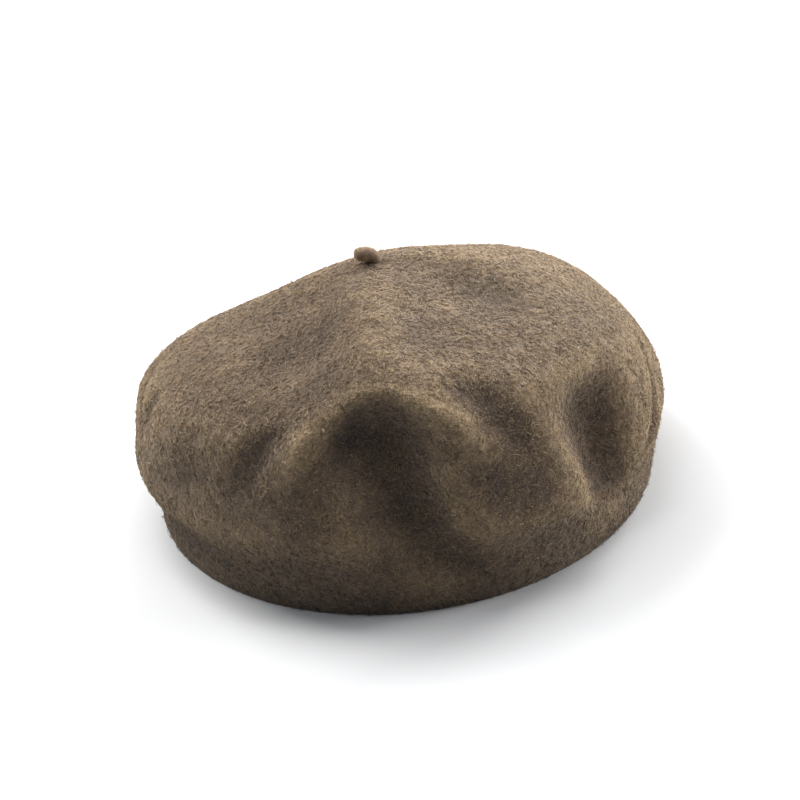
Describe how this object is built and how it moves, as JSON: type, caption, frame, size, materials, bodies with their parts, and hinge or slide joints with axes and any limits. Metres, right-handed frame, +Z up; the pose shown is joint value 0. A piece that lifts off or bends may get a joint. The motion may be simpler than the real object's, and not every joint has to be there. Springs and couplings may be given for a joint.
{
  "type": "basque beret",
  "caption": "Soft basque beret of brown wool felt, hollow and open at the rim, with folds and dents in the crown and a short bent stalk on top.",
  "frame": {"origin": "middle of the beret's footprint, on the surface that the rim rests on", "axes": "+Z up through the crown, -Y towards the front of the beret, +X to the viewer's right when seen from the front"},
  "size_m": [0.2018, 0.1968, 0.0994],
  "materials": {
    "felt": "brown-grey wool felt, short nap, matt",
    "stalk_felt": "tightly rolled wool felt, matt"
  },
  "bodies": {
    "root": {"crown": "felt", "stalk": "stalk_felt"}
  },
  "joints": []
}
